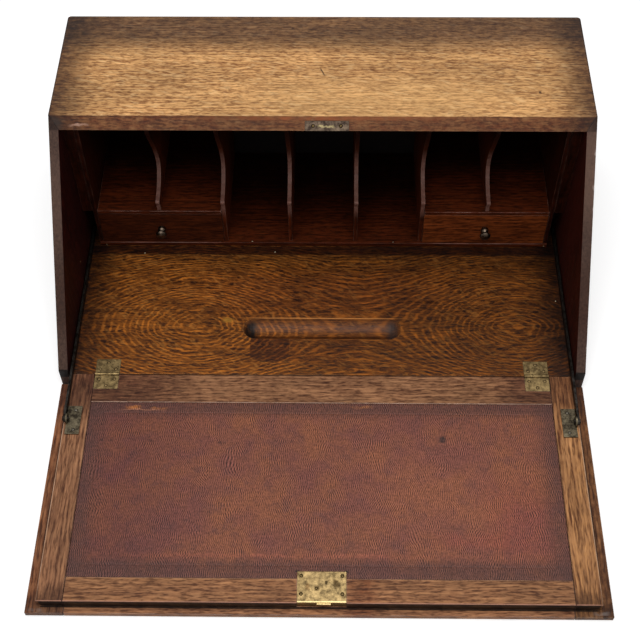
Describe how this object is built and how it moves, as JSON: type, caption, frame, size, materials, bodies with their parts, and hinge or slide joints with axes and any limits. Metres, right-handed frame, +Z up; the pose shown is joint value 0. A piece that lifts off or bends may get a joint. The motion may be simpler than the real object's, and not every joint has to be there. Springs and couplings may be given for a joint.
{
  "type": "writing bureau",
  "caption": "Table-top oak writing bureau with a sloping fall front, leather writing surface, pigeonholes, small drawers, pen groove, brass butt hinges, lock and stays.",
  "frame": {"origin": "middle of the carcass's underside, on the surface that it stands on", "axes": "+Z up, +Y to the back, +X to the right of someone sitting at it; the fall lies open along -Y"},
  "size_m": [0.61, 0.6497, 0.2475],
  "materials": {
    "top_oak": "waxed quarter-sawn oak, worn golden in the middle and dark at the edges",
    "carcass_oak": "dark stained oak, waxed",
    "floor_oak": "dark stained oak with strong ray figure",
    "inside_oak": "dark red-brown stained oak, satin",
    "fall_oak": "stained oak, worn satin",
    "leather": "maroon grained skiver, worn",
    "brass": "aged dull brass",
    "steel": "dull darkened steel"
  },
  "bodies": {
    "carcass": {"top_board": "top_oak", "side_left": "carcass_oak", "side_right": "carcass_oak", "back_panel": "carcass_oak", "floor_board": "floor_oak", "strike_plate": "brass", "unit_base": "inside_oak", "unit_end_left": "inside_oak", "unit_end_right": "inside_oak", "stay_pocket_cover_left": "inside_oak", "stay_pocket_cover_right": "inside_oak", "drawer_shelf_left": "inside_oak", "drawer_shelf_right": "inside_oak", "divider_outer_left": "inside_oak", "divider_outer_right": "inside_oak", "divider_bay_left": "inside_oak", "divider_bay_right": "inside_oak", "divider_centre_left": "inside_oak", "divider_centre_right": "inside_oak", "hinge_left_floor_leaf": "brass", "hinge_right_floor_leaf": "brass", "hinge_left_pin": "brass", "hinge_right_pin": "brass"},
    "fall": {"fall_stile_left": "fall_oak", "fall_stile_right": "fall_oak", "fall_hinge_rail": "fall_oak", "fall_front_rail": "fall_oak", "fall_panel": "fall_oak", "leather_skiver": "leather", "hinge_left_fall_leaf": "brass", "hinge_right_fall_leaf": "brass", "lock_plate": "brass", "lock_case": "steel", "stay_bracket_left": "steel", "stay_bracket_right": "steel", "stay_rivet_left": "steel", "stay_rivet_right": "steel"},
    "stay_left": {"stay_bar_left": "steel"},
    "stay_right": {"stay_bar_right": "steel"},
    "lock_bolt": {"lock_bolt": "brass"},
    "drawer_left": {"drawer_left_front": "inside_oak", "drawer_left_side_inner": "inside_oak", "drawer_left_side_outer": "inside_oak", "drawer_left_back": "inside_oak", "drawer_left_bottom": "inside_oak", "drawer_left_knob": "brass"},
    "drawer_right": {"drawer_right_front": "inside_oak", "drawer_right_side_inner": "inside_oak", "drawer_right_side_outer": "inside_oak", "drawer_right_back": "inside_oak", "drawer_right_bottom": "inside_oak", "drawer_right_knob": "brass"}
  },
  "joints": [
    {"name": "fall_hinge", "type": "hinge", "parent": "carcass", "child": "fall", "pos_m": [0, -0.18, 0.019], "axis": [-1, 0, 0], "range_deg": [0, 132.5]},
    {"name": "stay_left_pivot", "type": "hinge", "parent": "fall", "child": "stay_left", "pos_m": [-0.29095, -0.244, 0.0237], "axis": [-1, 0, 0], "range_deg": [-126, 0]},
    {"name": "stay_right_pivot", "type": "hinge", "parent": "fall", "child": "stay_right", "pos_m": [0.29095, -0.244, 0.0237], "axis": [-1, 0, 0], "range_deg": [-126, 0]},
    {"name": "lock_bolt_slide", "type": "slide", "parent": "fall", "child": "lock_bolt", "axis": [0, -1, 0], "range_m": [-0.002, 0.0085]},
    {"name": "drawer_left_slide", "type": "slide", "parent": "carcass", "child": "drawer_left", "axis": [0, -1, 0], "range_m": [0, 0.11]},
    {"name": "drawer_right_slide", "type": "slide", "parent": "carcass", "child": "drawer_right", "axis": [0, -1, 0], "range_m": [0, 0.11]}
  ],
  "couplings": [
    {"joint": "stay_left_pivot", "follows": "fall_hinge", "ratio": -0.941},
    {"joint": "stay_right_pivot", "follows": "fall_hinge", "ratio": -0.941}
  ]
}
